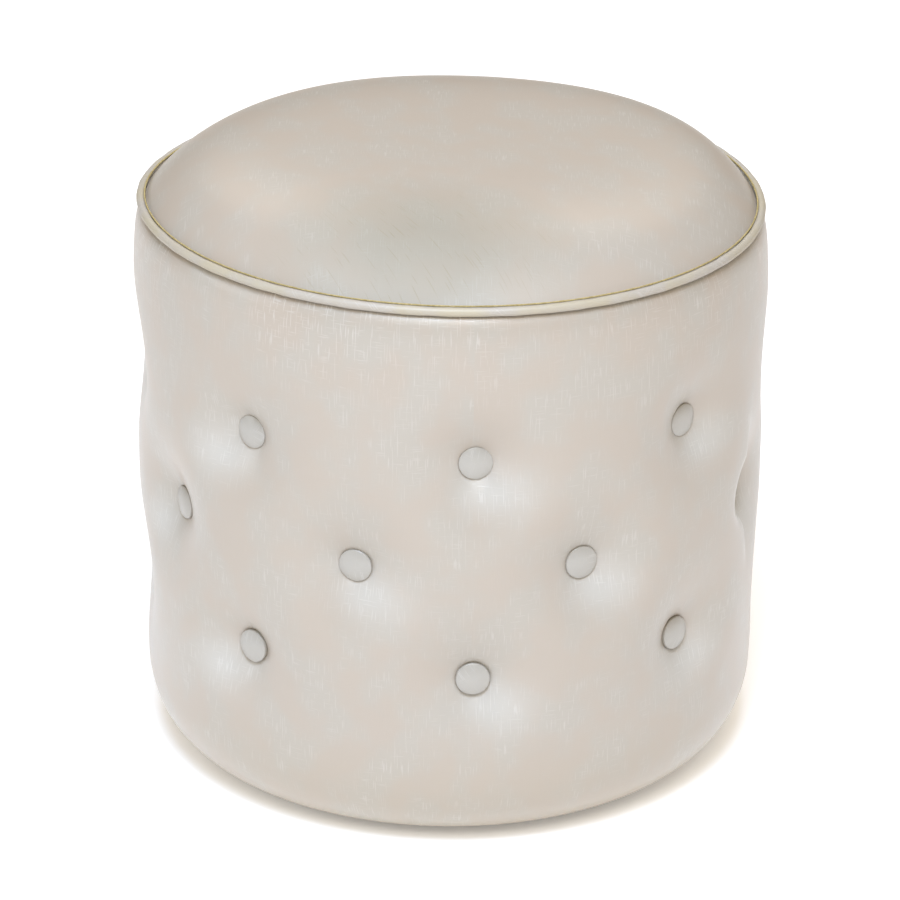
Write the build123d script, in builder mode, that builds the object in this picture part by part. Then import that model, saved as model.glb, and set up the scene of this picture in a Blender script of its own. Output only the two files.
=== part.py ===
from build123d import *
from math import atan2, cos, degrees, radians, sin, sqrt
import os

# Round tufted ottoman: a padded drum with three staggered rows of covered buttons, a crowned top
# panel and a welt round the top edge. Millimetres, origin on the floor under the middle,
# +Z up, the side that the photograph faces towards -Y.

os.makedirs("parts", exist_ok=True)

fit_gap = 0.3
cut_overrun = 2.0
arc_span = 120

# Drum outline, outside of the cover; the insets count inwards from the barrel, or the lip's from the seam
seam_height = 419.0
crown_rise = 38.0
barrel_radius = 228.4
seam_inset = 8.7
foot_inset = 5.4
foot_round_height = 44.0
lip_inset = 1.2
lip_height = 7.0

# Tufting
column_count = 16
front_column_angle = 4.1
low_row_rise = 131.0
top_row_drop = 115.0
row_count = 3
tuft_depth = 18.9
tuft_seat_width = 26.6
tuft_slope_width = 60.0
tuft_slope_depth = 9.0
tuft_mouth_width = 116.0
tuft_sides = 8

# Wooden frame
ply_thickness = 12.0
ring_width = 55.0
post_side = 38.0
post_count = 4
deck_drop = 12.0
wall_thickness = 3.0
wall_joint = 1.0
vent_radius = 25.0

# Screws, one at each end of a post
screw_radius = 2.5
screw_head_radius = 5.0
screw_head_depth = 3.0
screw_length = 50.0
screw_sides = 6
screw_clearance = 0.25

# Padding and covers
tuft_fill_thickness = 6.2
side_foam_thickness = 19.4
top_foam_thickness = 28.0
cover_thickness = 1.2
cover_turn_under = 33.0
foam_foot_rise = 9.0
dust_cover_thickness = 0.5
dust_cover_margin = 5.0

# Welt
bead_radius = 3.15
bead_sides = 6
bead_out = 3.6
flange_width = 15.0

# Covered buttons and what ties them down
button_radius = 12.2
button_rim = 3.4
button_crown = 2.6
button_flat_radius = 6.0
button_sides = 10
plate_radius = 8.0
plate_thickness = 1.2
plate_sides = 6
twine_radius = 1.0
twine_sides = 3
toggle_length = 30.0
toggle_width = 8.0
toggle_thickness = 3.0

# Glides
glide_radius = 12.5
glide_height = 4.5
glide_edge = 1.0
glide_sides = 16
glide_inset = 17.0
glide_count = 4
nail_radius = 1.25
nail_length = 12.0
nail_sides = 4

# Heights and radii that follow from these
cover_bottom = glide_height + dust_cover_thickness
frame_bottom = cover_bottom + cover_thickness
base_top = frame_bottom + ply_thickness
top_height = seam_height + crown_rise
flange_top = seam_height - fit_gap
flange_bottom = flange_top - cover_thickness
side_top = flange_bottom - fit_gap
deck_top = side_top - deck_drop
deck_bottom = deck_top - ply_thickness
foam_top = deck_top + top_foam_thickness
seam_radius = barrel_radius - seam_inset
foot_radius = barrel_radius - foot_inset
lip_radius = seam_radius - lip_inset
tuft_seat_radius = barrel_radius - tuft_depth
fill_inner_radius = tuft_seat_radius - tuft_fill_thickness
foam_outer_radius = fill_inner_radius - fit_gap
foam_inner_radius = foam_outer_radius - side_foam_thickness
wall_outer_radius = foam_inner_radius - fit_gap
wall_inner_radius = wall_outer_radius - wall_thickness
ring_radius = wall_inner_radius - fit_gap
ring_opening_radius = ring_radius - ring_width
foam_bottom = cover_bottom + foam_foot_rise
foot_height = cover_bottom + foot_round_height
bead_centre_radius = seam_radius + bead_out
bead_centre_height = (flange_top + flange_bottom) / 2
flange_inner_radius = seam_radius - flange_width

glide_circle_radius = ring_radius - glide_inset

column_pitch = 360 / column_count
post_angle = front_column_angle + column_pitch / 2
post_reach = sqrt((ring_radius - fit_gap) ** 2 - (post_side / 2) ** 2) - post_side / 2
glide_angle = post_angle + 180 / post_count
row_pitch = (seam_height - top_row_drop - cover_bottom - low_row_rise) / (row_count - 1)
row_heights = [cover_bottom + low_row_rise + row_pitch * row for row in range(row_count)]

# Shares of the height and of the outline that each level of a soft form stands at
foot_turn_shares = [0, 0.35, 0.7, 1]
crown_shares = [(0.42, 0.93), (0.8, 0.78), (1, 0.52)]


def polar(radius, angle):
    """A point round the drum; angles count from the front towards +X."""
    return radius * sin(radians(angle)), -radius * cos(radians(angle))


def level(height, radius):
    """One level of a round soft form, drawn as arcs."""
    with BuildSketch(Plane.XY.offset(height)) as face:
        with BuildLine():
            for start in range(0, 360, arc_span):
                ThreePointArc(
                    polar(radius, start), polar(radius, start + arc_span / 2), polar(radius, start + arc_span)
                )
        make_face()
    return face.sketch


def tuft_plane(angle, height, radius):
    """A plane that faces out of the drum, with its own X up."""
    x, y = polar(1, angle)
    return Plane(origin=(*polar(radius, angle), height), x_dir=(0, 0, 1), z_dir=(x, y, 0))


def row_angles(row):
    """The columns that hold a button in this row; the rows are staggered by one column."""
    first = row % 2
    return [front_column_angle + column_pitch * column for column in range(first, column_count, 2)]


def tuft_planes(radius, rows=range(row_count)):
    return [tuft_plane(angle, row_heights[row], radius) for row in rows for angle in row_angles(row)]


def save(piece, name):
    piece.part.label = name
    export_step(piece.part, f"parts/{name}.step")


# Tracks of the tufting twines, cut from all that they pass through
with BuildPart() as twine_tracks:
    with BuildSketch(*tuft_planes(ring_radius - cut_overrun)):
        RegularPolygon(twine_radius + fit_gap, twine_sides)
    extrude(amount=tuft_seat_radius - ring_radius + 2 * cut_overrun)


def nails(margin):
    """The glide nails, each made bigger all round by a margin."""
    with BuildPart() as form:
        with BuildSketch(Plane.XY.offset(glide_height)):
            with PolarLocations(glide_circle_radius, glide_count, start_angle=glide_angle - 90):
                RegularPolygon(nail_radius + margin, nail_sides)
        extrude(amount=nail_length + margin)
    return form.part


nail_holes = nails(screw_clearance)


def screws(margin):
    """The screws of all posts, base and deck, each made bigger all round by a margin."""
    with BuildPart() as form:
        for head in (Plane.XY.offset(deck_top), Plane.XY.offset(frame_bottom).rotated((180, 0, 0))):
            turn = head.z_dir.Z * (post_angle - 90)
            with BuildSketch(head.offset(-screw_length)):
                with PolarLocations(post_reach, post_count, start_angle=turn):
                    RegularPolygon(screw_radius + margin, screw_sides, major_radius=False)
            extrude(amount=screw_length)
            with BuildSketch(head):
                with PolarLocations(post_reach, post_count, start_angle=turn):
                    RegularPolygon(screw_head_radius + margin, screw_sides, major_radius=False)
            extrude(amount=-screw_head_depth)
    return form.part


screw_holes = screws(screw_clearance)

# Plywood base ring, with the screw heads let in from below
with BuildPart() as base_ring:
    with BuildSketch(Plane.XY.offset(frame_bottom)):
        Circle(ring_radius)
        Circle(ring_opening_radius, mode=Mode.SUBTRACT)
    extrude(amount=ply_thickness)
    add(screw_holes, mode=Mode.SUBTRACT)
    add(nail_holes, mode=Mode.SUBTRACT)
save(base_ring, "base_ring")

# Plywood top deck, with an air vent under the foam
with BuildPart() as top_deck:
    with BuildSketch(Plane.XY.offset(deck_bottom)):
        Circle(ring_radius)
        Circle(vent_radius, mode=Mode.SUBTRACT)
    extrude(amount=ply_thickness)
    add(screw_holes, mode=Mode.SUBTRACT)
save(top_deck, "top_deck")

# Softwood posts, each with a pilot hole in both ends
for number in range(post_count):
    angle = post_angle + number * 360 / post_count
    with BuildPart() as post:
        with BuildSketch(Plane.XY.offset(base_top)):
            with Locations(polar(post_reach, angle)):
                Rectangle(post_side, post_side, rotation=angle)
        extrude(amount=deck_bottom - base_top)
        add(screw_holes, mode=Mode.SUBTRACT)
    save(post, f"post_{number + 1}")

with BuildPart() as frame_screws:
    add(screws(0))
save(frame_screws, "frame_screws")

# Hardboard bent round the plywood, its two ends meeting on a post
with BuildPart() as side_wall:
    with BuildSketch(Plane.XY.offset(frame_bottom)):
        Circle(wall_outer_radius)
        Circle(wall_inner_radius, mode=Mode.SUBTRACT)
        with Locations(polar(ring_radius, post_angle)):
            Rectangle(wall_joint, foam_outer_radius - ring_radius, rotation=post_angle, mode=Mode.SUBTRACT)
    extrude(amount=deck_top - frame_bottom)
    add(twine_tracks.part, mode=Mode.SUBTRACT)
save(side_wall, "side_wall")

# Foam wrapped round the wall, and a foam disc on the deck
with BuildPart() as side_foam:
    with BuildSketch(Plane.XY.offset(foam_bottom)):
        Circle(foam_outer_radius)
        Circle(foam_inner_radius, mode=Mode.SUBTRACT)
    extrude(amount=deck_top - foam_bottom)
    add(twine_tracks.part, mode=Mode.SUBTRACT)
save(side_foam, "side_foam")

with BuildPart() as top_foam:
    with BuildSketch(Plane.XY.offset(deck_top)):
        Circle(foam_outer_radius)
    extrude(amount=top_foam_thickness)
save(top_foam, "top_foam")

# Side cover with the fill that it draws into puffs: a rounded foot, a slightly swelling barrel
# and a lip that turns in under the welt, pulled in at every button
side_levels = []
for share in foot_turn_shares:
    turn = radians(90 * share)
    side_levels.append((
        foot_height - foot_round_height * cos(turn),
        wall_outer_radius + (foot_radius - wall_outer_radius) * sin(turn),
    ))
side_levels += [(side_top - lip_height, barrel_radius), (side_top, lip_radius)]

mouth_depth = tuft_depth - tuft_slope_depth


def tuft_step(seat_width, width, depth):
    """A prism that stands on a seat, its foot bevelled down to the seat."""
    with BuildPart() as step:
        with BuildSketch():
            RegularPolygon(width / 2, tuft_sides, major_radius=False, rotation=180 / tuft_sides)
        extrude(amount=depth + cut_overrun)
        foot = step.faces().sort_by(Axis.Z)[0]
        chamfer(foot.edges(), (width - seat_width) / 2, depth, reference=foot)
    return step.part


with BuildPart() as tuft_mould:
    with Locations(*tuft_planes(tuft_seat_radius)):
        add(tuft_step(tuft_seat_width, tuft_slope_width, tuft_slope_depth))
    with Locations(*tuft_planes(tuft_seat_radius + tuft_slope_depth)):
        add(tuft_step(tuft_slope_width, tuft_mouth_width, mouth_depth))

with BuildPart() as side_cover:
    loft(sections=[level(height, radius) for height, radius in side_levels], ruled=True)
    add(tuft_mould.part, mode=Mode.SUBTRACT)
    with BuildSketch(Plane.XY.offset(cover_bottom)):
        Circle(wall_outer_radius - cover_turn_under)
    extrude(amount=cover_thickness, mode=Mode.SUBTRACT)
    with BuildSketch(Plane.XY.offset(frame_bottom)):
        Circle(foam_inner_radius)
    extrude(amount=foam_bottom - frame_bottom, mode=Mode.SUBTRACT)
    with BuildSketch(Plane.XY.offset(foam_bottom - fit_gap)):
        Circle(fill_inner_radius)
    extrude(amount=side_top - foam_bottom + cut_overrun, mode=Mode.SUBTRACT)
    add(twine_tracks.part, mode=Mode.SUBTRACT)
    add(nail_holes, mode=Mode.SUBTRACT)
save(side_cover, "side_cover")

# Crowned top panel: flat in the middle, rolled over towards the seam
crown_levels = [(seam_height, seam_radius)]
crown_levels += [(seam_height + crown_rise * rise, seam_radius * reach) for rise, reach in crown_shares]
with BuildPart() as top_cover:
    loft(sections=[level(height, radius) for height, radius in crown_levels], ruled=True)
    with BuildSketch(Plane.XY.offset(seam_height)):
        Circle(fill_inner_radius)
    extrude(amount=foam_top + fit_gap - seam_height, mode=Mode.SUBTRACT)
save(top_cover, "top_cover")

# Welt: a strip folded over a cord, whose flange is caught in the seam
with BuildPart() as welt:
    with BuildSketch(Plane.XZ):
        with Locations((bead_centre_radius, bead_centre_height)):
            RegularPolygon(bead_radius, bead_sides)
        with Locations(((bead_centre_radius + flange_inner_radius) / 2, bead_centre_height)):
            Rectangle(bead_centre_radius - flange_inner_radius, cover_thickness)
    revolve(axis=Axis.Z)
save(welt, "welt")

# Covered buttons, their closing plates, twines and the toggles inside the wall
plate_seat = tuft_seat_radius + fit_gap
crown_angle = degrees(atan2(button_radius - button_flat_radius, button_crown))
with BuildPart() as button:
    with BuildSketch():
        RegularPolygon(button_radius, button_sides)
    extrude(amount=button_rim)
    with BuildSketch(Plane.XY.offset(button_rim)):
        RegularPolygon(button_radius, button_sides)
    extrude(amount=button_crown, taper=crown_angle)

for row, row_name in enumerate(("lower", "middle", "upper")):
    with BuildPart() as buttons:
        with Locations(*tuft_planes(plate_seat + plate_thickness, [row])):
            add(button.part)
    save(buttons, f"buttons_{row_name}")

with BuildPart() as button_plates:
    with BuildSketch(*tuft_planes(plate_seat)):
        RegularPolygon(plate_radius, plate_sides)
    extrude(amount=plate_thickness)
save(button_plates, "button_plates")

toggle_face_radius = sqrt(wall_inner_radius ** 2 - (toggle_width / 2) ** 2) - fit_gap
with BuildPart() as tufting_twines:
    with BuildSketch(*tuft_planes(toggle_face_radius)):
        RegularPolygon(twine_radius, twine_sides)
    extrude(amount=plate_seat - toggle_face_radius)
save(tufting_twines, "tufting_twines")

with BuildPart() as twine_toggles:
    with BuildSketch(*tuft_planes(toggle_face_radius)):
        Rectangle(toggle_length, toggle_width)
    extrude(amount=-toggle_thickness)
save(twine_toggles, "twine_toggles")

# Dust cover under the frame
with BuildPart() as dust_cover:
    with BuildSketch(Plane.XY.offset(glide_height)):
        Circle(ring_radius - dust_cover_margin)
    extrude(amount=dust_cover_thickness)
    add(nail_holes, mode=Mode.SUBTRACT)
save(dust_cover, "dust_cover")

# Nylon glides, each held by one nail
for number in range(glide_count):
    angle = glide_angle + number * 360 / glide_count
    with BuildPart() as glide:
        with BuildSketch():
            with Locations(polar(glide_circle_radius, angle)):
                RegularPolygon(glide_radius, glide_sides)
        extrude(amount=glide_height)
        chamfer(glide.edges().group_by(Axis.Z)[0], glide_edge)
    save(glide, f"glide_{number + 1}")

with BuildPart() as glide_nails:
    add(nails(0))
save(glide_nails, "glide_nails")
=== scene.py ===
"""Looks of a round tufted ottoman, built round its packed CAD model.

The cover is pearl upholstery leathercloth over fibre fill, drawn in by three rows of covered buttons.
Metres, origin on the floor under the middle, +Z up, front towards -Y. Angles count from the front towards +X.
"""

import math
from functools import partial

import bmesh
import bpy
import numpy as np
from bpy.props import FloatProperty, FloatVectorProperty, IntProperty, PointerProperty
from mathutils import Matrix, Vector


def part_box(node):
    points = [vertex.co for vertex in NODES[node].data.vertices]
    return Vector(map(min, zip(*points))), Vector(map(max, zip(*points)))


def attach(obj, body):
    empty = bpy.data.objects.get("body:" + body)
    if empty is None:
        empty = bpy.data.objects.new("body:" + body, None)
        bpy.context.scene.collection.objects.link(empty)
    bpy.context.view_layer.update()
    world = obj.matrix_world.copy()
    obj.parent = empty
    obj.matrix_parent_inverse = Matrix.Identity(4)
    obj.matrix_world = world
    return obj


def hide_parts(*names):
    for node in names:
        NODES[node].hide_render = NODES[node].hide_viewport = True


bl_info = {
    "name": "Round Tufted Ottoman",
    "version": (1, 0, 0),
    "blender": (4, 5, 0),
    "location": "3D View > Sidebar > Ottoman",
    "description": "Builds the cover, buttons, welt, foam and fittings of a round tufted ottoman",
    "category": "Add Mesh",
}

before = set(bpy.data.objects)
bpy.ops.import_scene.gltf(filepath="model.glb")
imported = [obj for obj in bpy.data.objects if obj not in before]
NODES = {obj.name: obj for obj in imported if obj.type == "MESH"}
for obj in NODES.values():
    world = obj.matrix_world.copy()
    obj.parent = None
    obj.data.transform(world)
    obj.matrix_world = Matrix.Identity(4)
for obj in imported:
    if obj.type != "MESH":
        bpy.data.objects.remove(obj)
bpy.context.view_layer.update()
BODY = "root"
MM = 0.001
UV_NAME = "Cloth"
# Values per vertex that the materials read: painted shade at a button's edge, and painted highlight below
# each button
RIM_SHADE_NAME = "rim"
PAINTED_HIGHLIGHT_NAME = "stretch"


def linear(code):
    """An sRGB hex colour as linear red, green and blue."""
    shares = [int(code[i:i + 2], 16) / 255 for i in (1, 3, 5)]
    return tuple(s / 12.92 if s <= 0.04045 else ((s + 0.055) / 1.055) ** 2.4 for s in shares)


def length(label, text, metres):
    """A property that holds a length."""
    return FloatProperty(name=label, description=text, default=metres, unit="LENGTH", subtype="DISTANCE")


def turning(label, text, degrees):
    """A property that holds an angle, given in degrees."""
    return FloatProperty(name=label, description=text, default=math.radians(degrees), unit="ROTATION",
                         subtype="ANGLE")


def factor(label, text, value, **limits):
    """A property that holds a plain number."""
    return FloatProperty(name=label, description=text, default=value, **limits)


def colour(label, text, code):
    return FloatVectorProperty(name=label, description=text, default=linear(code), subtype="COLOR",
                               min=0, max=1)


def middle(node):
    low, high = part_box(node)
    return (low + high) / 2


TOP_LOW, TOP_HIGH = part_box("top_cover")
SIDE_LOW, SIDE_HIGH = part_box("side_cover")
WELT_LOW, WELT_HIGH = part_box("welt")
FOAM_LOW, FOAM_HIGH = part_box("side_foam")
TOP_FOAM_LOW, TOP_FOAM_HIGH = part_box("top_foam")
DUST_LOW, DUST_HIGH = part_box("dust_cover")
BUTTON_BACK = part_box("button_plates")[1].x


# Settings

class DrumSettings(bpy.types.PropertyGroup):
    """Outline of the padded drum."""

    seam_height: length("Seam height", "Height of the seam of the top panel", TOP_LOW.z)
    crown: length("Crown", "Rise of the top panel over its seam", TOP_HIGH.z - TOP_LOW.z)
    seam_radius: length("Seam radius", "Radius of the seam of the top panel", TOP_HIGH.x)
    fullness: factor("Crown fullness", "Power of the crown's curve; higher is flatter", 6.2, min=2, max=12)
    extra_fullness: factor("Extra fullness", "What more filling adds on the fuller side", 4.5, min=0, max=8)
    full_angle: turning("Fuller side", "Angle at which the crown is fullest", 124)
    lean_right: factor("Lean to the right", "Fall of the seam per metre towards +X", 0.01775)
    lean_back: factor("Lean to the back", "Fall of the seam per metre towards +Y", 0.01714)
    crown_lean: factor("Lean of the crown", "Fall of its middle per metre towards +X", 0.016)
    lean_start: length("Lean start", "Height over which the cover begins to lean", 322 * MM)
    pull: length("Pull", "How far the seam is drawn down on the pulled side", 5.5 * MM)
    pull_angle: turning("Pulled side", "Angle at which the seam is drawn down most", -118)


class TuftSettings(bpy.types.PropertyGroup):
    """The buttons' places and the dimples that they draw."""

    columns: IntProperty(name="Columns", description="Columns of buttons, every second one filled in a row",
                         default=16, min=4)
    first_angle: turning("First column", "Angle of the first column from the front", 4.1)
    depth: length("Dimple depth", "Depth of the cover beside a button's edge", 15.5 * MM)
    seat_depth: length("Seat depth", "Depth of the cover under a button", 18.6 * MM)
    reach: length("Dimple reach", "Distance from a button at which its dimple ends", 72 * MM)
    steepness: factor("Steepness", "Power of the dimple's slope; higher is steeper", 2.2, min=1, max=5)


class ButtonSettings(bpy.types.PropertyGroup):
    """A covered button."""

    radius: length("Radius", "Radius with the cloth", 12.2 * MM)
    rim: length("Rim", "Height of its straight side", 3.4 * MM)
    crown: length("Crown", "Rise of its face over the rim", 2.6 * MM)
    segments: IntProperty(name="Segments", description="Sides of the round outline", default=48, min=8)


class TrimSettings(bpy.types.PropertyGroup):
    """Welt, seam thread and the fittings under the base."""

    bead_radius: length("Welt radius", "Radius of the covered cord", 3.15 * MM)
    thread_radius: length("Thread radius", "Radius of the seam thread", 0.7 * MM)
    stitch: length("Stitch", "Length of one stitch", 3.2 * MM)
    sag: length("Dust cover sag", "Fall of the dust cover in its middle", 1.4 * MM)
    staple_count: IntProperty(name="Staples", description="Staples round the dust cover", default=40, min=8)
    staple_width: length("Staple width", "Width of a staple's crown", 10 * MM)
    staple_wire: length("Staple wire", "Thickness of the staple wire", 0.7 * MM)


class CoverColours(bpy.types.PropertyGroup):
    """Colours of the cover."""

    cloth: colour("Cloth", "Pearl coating, warm tone", "#B0A496")
    cloth_cool: colour("Cloth, cool", "Pearl coating, cool tone", "#AEA69A")
    slub: colour("Slub", "Raised slub threads", "#D4D1CB")
    # Painted highlight: the paler tone of the patch below each button
    pearl: colour("Pearl", "Coating where it is stretched", "#BCB8B0")
    # A darker tone for a round place at the front of the top panel
    darker_front: colour("Worn cloth", "Coating dulled by use", "#918C7D")
    # A darker, warmer tone towards the foot
    darker_foot: colour("Soiled cloth", "Coating darkened by shoes and dust at the foot", "#A08F6E")
    welt: colour("Welt", "Cloth of the welt", "#B1A791")
    button: colour("Button", "Stretched cloth on the buttons", "#AAA59C")
    # Creases on the top panel, and painted shade in the gap at a button's edge
    crease_and_rim_shade: colour("Fold", "Creased edge of the cloth round a button", "#91876A")


class StageSettings(bpy.types.PropertyGroup):
    """Camera, floor and lights."""

    distance: length("Distance", "From the camera to its aim", 3700.8 * MM)
    elevation: turning("Elevation", "Angle of the camera over the floor", 24.625)
    roll: turning("Roll", "Turn of the camera about its line of sight", 0.283)
    aim_height: length("Aim height", "Height of the point that the camera aims at", 216.5 * MM)
    lens: factor("Lens", "Focal length in millimetres", 200.85)
    floor: colour("Floor", "White paper", "#F9F9F9")
    floor_glow: factor("Floor glow", "Strength of the paper's faint glow", 0.3)
    world: factor("Tent light", "Strength of the white tent round the object", 0.35)
    tent_tone: colour("Tent tone", "Warm white of the tent", "#FFEFD6")
    power: factor("Power", "Share of the lamps' full power", 1.0, min=0)


GROUPS = {
    "ottoman_drum": DrumSettings,
    "ottoman_tufts": TuftSettings,
    "ottoman_buttons": ButtonSettings,
    "ottoman_trim": TrimSettings,
    "ottoman_colours": CoverColours,
    "ottoman_stage": StageSettings,
}


def settings(group):
    return getattr(bpy.context.scene, "ottoman_" + group)


# Materials

# Real threads are 0.4 mm apart; the backing is drawn coarser and its slubs wider, so that they show
THREAD = 0.6 * MM
SLUB = 0.9 * MM
# Lengths down the cloth from the seam, from where the tight part begins to where it is full, and the same for
# the darker foot
TIGHT_BAND = (0.08, 0.012)
FOOT_BAND = (0.33, 0.41)
# Middle of the darker, duller place on the top panel, and the distances from it at which it starts and is
# full
DARK_PLACE = (-0.02, -0.184, 0)
DARK_REACH = (0.125, 0.03)
# A Mix node for colours takes the share at input 0 and the colours at 6 and 7, and gives them at this output
MIXED_COLOUR = 2


def add_node(tree, kind, inputs=(), output=0, **values):
    """Adds one shader node and gives one of its outputs.

    Inputs are values, or sockets to link from, in the order of the node's sockets or by number or name.
    """
    made = tree.nodes.new("ShaderNode" + kind)
    for name, value in values.items():
        setattr(made, name, value)
    for name, value in inputs.items() if isinstance(inputs, dict) else enumerate(inputs):
        if isinstance(value, bpy.types.NodeSocket):
            tree.links.new(value, made.inputs[name])
        else:
            made.inputs[name].default_value = value
    return made.outputs[output]


def new_material(name, **shader):
    """A material with one Principled shader; its named sockets are set directly."""
    material = bpy.data.materials.new(name)
    material.use_nodes = True
    surface = material.node_tree.nodes["Principled BSDF"]
    for socket, value in shader.items():
        surface.inputs[socket.replace("_", " ")].default_value = value
    return material, material.node_tree, surface


def opaque(rgb):
    return (*rgb[:3], 1)


def streaks(tree, place, across, along, turn=0.0, detail=2.0):
    """A pattern of noise drawn out into streaks, across by along metres in size, after it is turned."""
    if turn:
        # A Mapping node scales before it turns, so the turn has a node of its own
        place = add_node(tree, "Mapping", {"Vector": place, "Rotation": (0, 0, turn)})
    spot = add_node(tree, "Mapping", {"Vector": place, "Scale": (1 / across, 1 / along, 1)})
    return add_node(tree, "TexNoise", {"Vector": spot, "Scale": 1.0, "Detail": detail}, "Fac",
                    noise_dimensions="2D")


def leathercloth(name, tone, cool_tone, roughness=0.36, coat=0.3, creases=False, rim=False, seamed=False):
    """Pearl upholstery leathercloth: a satin vinyl coating on a linen-look backing.

    The coating gives a soft, wide highlight, and the backing's slub threads show in it as fine pale streaks.
    """
    colours = settings("colours")
    material, tree, surface = new_material(
        name, Metallic=0.03, IOR=1.62, Coat_Weight=coat, Coat_Roughness=0.3, Coat_IOR=1.5)
    add = partial(add_node, tree)
    place = add("UVMap", uv_map=UV_NAME)
    warp = add("MapRange", [streaks(tree, place, THREAD, 9 * MM, detail=1.0), 0.4, 0.7])
    weft = add("MapRange", [streaks(tree, place, 8 * MM, THREAD, detail=1.0), 0.4, 0.7])
    linen = add("Math", [warp, weft], operation="ADD")
    grain = streaks(tree, place, 1.1 * MM, 1.1 * MM)
    # The coating's tone and the share of slubs that show change from patch to patch
    patches = streaks(tree, place, 34 * MM, 42 * MM)
    share = add("MapRange", [patches, 0.44, 0.64, 0.04, 0.5])
    layers = [(add("MapRange", [patches, 0.38, 0.62]), cool_tone)]
    if seamed:
        # Next to the seam the cloth is pulled tight in places, so more of its slubs show there
        down = add("SeparateXYZ", [place], "Y")
        places = add("MapRange", [streaks(tree, place, 90 * MM, 300 * MM, detail=0.0), 0.4, 0.6, 0.3, 1.0])
        tight = add("Math", [add("MapRange", [down, *TIGHT_BAND]), places], operation="MULTIPLY")
        # Painted highlight below each button, where the lamps light the dimple's lower side: the pearl tone
        # is paler there, and more slubs show
        stretch = add("Attribute", output="Fac", attribute_name=PAINTED_HIGHLIGHT_NAME)
        tight = add("Math", [tight, stretch], operation="MAXIMUM")
        share = add("Math", [share, tight], operation="MAXIMUM")
        layers += [(stretch, colours.pearl),
                   (add("MapRange", [down, *FOOT_BAND, 0.0, 0.28]), colours.darker_foot)]
    warp_slubs = add("MapRange", [streaks(tree, place, SLUB, 15 * MM, detail=0.5), 0.66, 0.74])
    weft_slubs = add("MapRange", [streaks(tree, place, 13 * MM, SLUB, detail=0.5), 0.68, 0.78, 0.0, 0.7])
    slubs = add("Math", [warp_slubs, weft_slubs], operation="MAXIMUM")
    slubs = add("Math", [share, slubs], operation="MULTIPLY")
    layers.append((add("Math", [slubs, 0.42], operation="MULTIPLY"), colours.slub))
    height = add("Math", [linen, 0.25, slubs], operation="MULTIPLY_ADD")
    height = add("Math", [grain, 0.35, height], operation="MULTIPLY_ADD")
    gloss = add("MapRange", [slubs, 0.0, 1.0, roughness, roughness - 0.08])
    if creases:
        # Hairline creases where sitting has folded the coating on the front shoulder, in a round place that
        # is darker, rougher and less coated
        lines = streaks(tree, place, 1.3 * MM, 26 * MM, turn=math.radians(-31), detail=0.5)
        away = add("VectorMath", [place, DARK_PLACE], "Value", operation="DISTANCE")
        near = add("MapRange", [away, *DARK_REACH])
        crease = add("Math", [add("MapRange", [lines, 0.71, 0.77]), near], operation="MULTIPLY")
        layers += [(add("Math", [near, 0.65], operation="MULTIPLY"), colours.darker_front),
                   (add("Math", [crease, 0.35], operation="MULTIPLY"), colours.crease_and_rim_shade)]
        height = add("Math", [height, crease], operation="SUBTRACT")
        gloss = add("Math", [near, 0.3, gloss], operation="MULTIPLY_ADD")
        tree.links.new(add("MapRange", [near, 0.0, 1.0, coat, 0.05]), surface.inputs["Coat Weight"])
    if rim:
        # Gathered cloth is creased at the edge of a button, and the shade in the gap there is painted on as a
        # dark band
        layers.append((add("Attribute", output="Fac", attribute_name=RIM_SHADE_NAME), colours.crease_and_rim_shade))
    tint = opaque(tone)
    for part, over in layers:
        tint = add("Mix", {0: part, 6: tint, 7: opaque(over)}, MIXED_COLOUR, data_type="RGBA")
    bump = add("Bump", {"Height": height, "Strength": 0.45, "Distance": 0.14 * MM})
    for socket, source in (("Base Color", tint), ("Roughness", gloss), ("Normal", bump)):
        tree.links.new(source, surface.inputs[socket])
    return material


def textured(name, dark, light, across, along, depth, turn=(0.0, 0.0, 0.0), **shader):
    """A material whose noise, across by along metres and depth deep, mixes two tones and adds relief."""
    material, tree, surface = new_material(name, **shader)
    place = add_node(tree, "TexCoord", output="Object")
    scale = (1 / across, 1 / across, 1 / along)
    spot = add_node(tree, "Mapping", {"Vector": place, "Rotation": turn, "Scale": scale})
    noise = add_node(tree, "TexNoise", {"Vector": spot, "Scale": 1.0, "Detail": 4.0}, "Fac")
    share = add_node(tree, "MapRange", [noise, 0.35, 0.65])
    tones = {0: share, 6: opaque(linear(dark)), 7: opaque(linear(light))}
    tint = add_node(tree, "Mix", tones, MIXED_COLOUR, data_type="RGBA")
    bump = add_node(tree, "Bump", {"Height": noise, "Strength": 0.6, "Distance": depth})
    tree.links.new(tint, surface.inputs["Base Color"])
    tree.links.new(bump, surface.inputs["Normal"])
    return material


# Modelling

def start(operator, name, **values):
    """Adds a mesh primitive with nothing else selected, names it and puts its place into its mesh."""
    if bpy.context.object and bpy.context.object.mode != "OBJECT":
        raise RuntimeError("a piece was left in edit mode")
    bpy.ops.object.select_all(action="DESELECT")
    operator(**values)
    piece = bpy.context.object
    piece.name = piece.data.name = name
    settle(piece)
    return piece


def only(piece):
    bpy.ops.object.select_all(action="DESELECT")
    piece.select_set(True)
    bpy.context.view_layer.objects.active = piece


def picked(piece, kind, test):
    """Enters edit mode with only the vertices, edges or faces that pass the test selected."""
    only(piece)
    bpy.ops.object.mode_set(mode="EDIT")
    bpy.context.tool_settings.mesh_select_mode = tuple(kind == k for k in ("verts", "edges", "faces"))
    bpy.ops.mesh.select_all(action="DESELECT")
    mesh = bmesh.from_edit_mesh(piece.data)
    chosen = [part for part in getattr(mesh, kind) if test(part)]
    if not chosen:
        raise RuntimeError(f"nothing to select on {piece.name}")
    for part in chosen:
        part.select_set(True)
    mesh.select_flush_mode()
    bmesh.update_edit_mesh(piece.data)


def leave():
    bpy.ops.object.mode_set(mode="OBJECT")


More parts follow.
